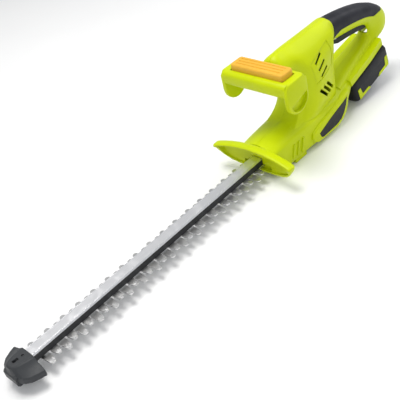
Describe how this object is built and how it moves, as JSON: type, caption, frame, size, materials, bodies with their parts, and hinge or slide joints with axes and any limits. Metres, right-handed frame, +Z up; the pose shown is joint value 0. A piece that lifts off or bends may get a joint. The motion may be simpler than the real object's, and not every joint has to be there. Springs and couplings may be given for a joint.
{
  "type": "cordless hedge trimmer",
  "caption": "Cordless hedge trimmer with reciprocating double-sided blades, hand guard, front handle with safety bar, rear D-handle and slide-on battery.",
  "frame": {"origin": "middle of the object's base: the centre of its bounding box at the ground plane", "axes": "+X towards the blade tip, +Y to the tool's left as seen by the person holding it, +Z up"},
  "size_m": [0.9311, 0.17, 0.19],
  "materials": {
    "lime_plastic": "satin moulded",
    "orange_plastic": "satin moulded",
    "black_rubber": "soft touch",
    "black_plastic": "fine texture",
    "black_gloss": "gloss",
    "shield_plastic": "grained",
    "blade_steel": "ground",
    "bar_aluminium": "brushed",
    "channel_black": "satin black",
    "steel": "zinc plated",
    "brass": "plain",
    "board_green": "coated board",
    "cell_wrap": "shrink film"
  },
  "bodies": {
    "tool": {"housing_left": "lime_plastic", "housing_right": "lime_plastic", "hand_guard": "lime_plastic", "base_cover": "lime_plastic", "safety_springs": "steel", "safety_switch": "black_plastic", "rear_grip": "black_rubber", "trigger_pin": "steel", "trigger_spring": "steel", "trigger_switch": "black_plastic", "badge_left": "black_gloss", "badge_right": "black_gloss", "window_left": "lime_plastic", "window_right": "lime_plastic", "housing_screws": "steel", "motor_case": "steel", "motor_mount": "steel", "gear_plate": "bar_aluminium", "shaft_bearings": "steel", "bar_channel": "channel_black", "bar_cap": "bar_aluminium", "blade_bolts": "steel", "bolt_sleeves": "steel", "tip_shield": "shield_plastic", "tip_rivets": "steel", "terminal_block": "black_plastic", "terminal_blades": "brass", "control_board": "board_green"},
    "safety": {"safety_bar": "orange_plastic"},
    "trigger_lever": {"trigger": "black_plastic"},
    "upper": {"upper_blade": "blade_steel"},
    "lower": {"lower_blade": "blade_steel"},
    "gear": {"drive_gear": "steel"},
    "pinion": {"motor_pinion": "brass"},
    "battery": {"battery_case": "black_plastic", "battery_top": "black_plastic", "battery_accents": "lime_plastic", "battery_cells": "cell_wrap", "battery_contacts": "brass"},
    "latch": {"battery_latch": "black_plastic"}
  },
  "joints": [
    {"name": "safety_press", "type": "slide", "parent": "tool", "child": "safety", "axis": [0, 0, -1], "range_m": [0, 0.0035], "stiffness_N_per_m": 1500, "springref_m": -0.004, "deforming": ["safety_springs"]},
    {"name": "trigger_squeeze", "type": "hinge", "parent": "tool", "child": "trigger_lever", "pos_m": [-0.30245, 0, 0.147], "axis": [0, 1, 0], "range_deg": [0, 4], "stiffness_Nm_per_rad": 2, "springref_deg": -5.73, "deforming": ["trigger_spring"]},
    {"name": "upper_blade_stroke", "type": "slide", "parent": "tool", "child": "upper", "axis": [1, 0, 0], "range_m": [-0.008, 0.008]},
    {"name": "lower_blade_stroke", "type": "slide", "parent": "tool", "child": "lower", "axis": [1, 0, 0], "range_m": [-0.008, 0.008]},
    {"name": "gear_spin", "type": "hinge", "parent": "tool", "child": "gear", "pos_m": [-0.16645, 0, 0.039], "axis": [0, 0, 1], "continuous": true},
    {"name": "pinion_spin", "type": "hinge", "parent": "tool", "child": "pinion", "pos_m": [-0.20255, 0, 0.039], "axis": [0, 0, 1], "continuous": true},
    {"name": "battery_slide", "type": "slide", "parent": "tool", "child": "battery", "axis": [-0.9744, 0, 0.225], "range_m": [0, 0.12]},
    {"name": "latch_press", "type": "slide", "parent": "battery", "child": "latch", "axis": [0.9744, 0, -0.225], "range_m": [0, 0.0025], "stiffness_N_per_m": 1200, "springref_m": -0.003}
  ],
  "couplings": [
    {"joint": "pinion_spin", "follows": "gear_spin", "ratio": -7},
    {"joint": "lower_blade_stroke", "follows": "upper_blade_stroke", "ratio": -1}
  ]
}
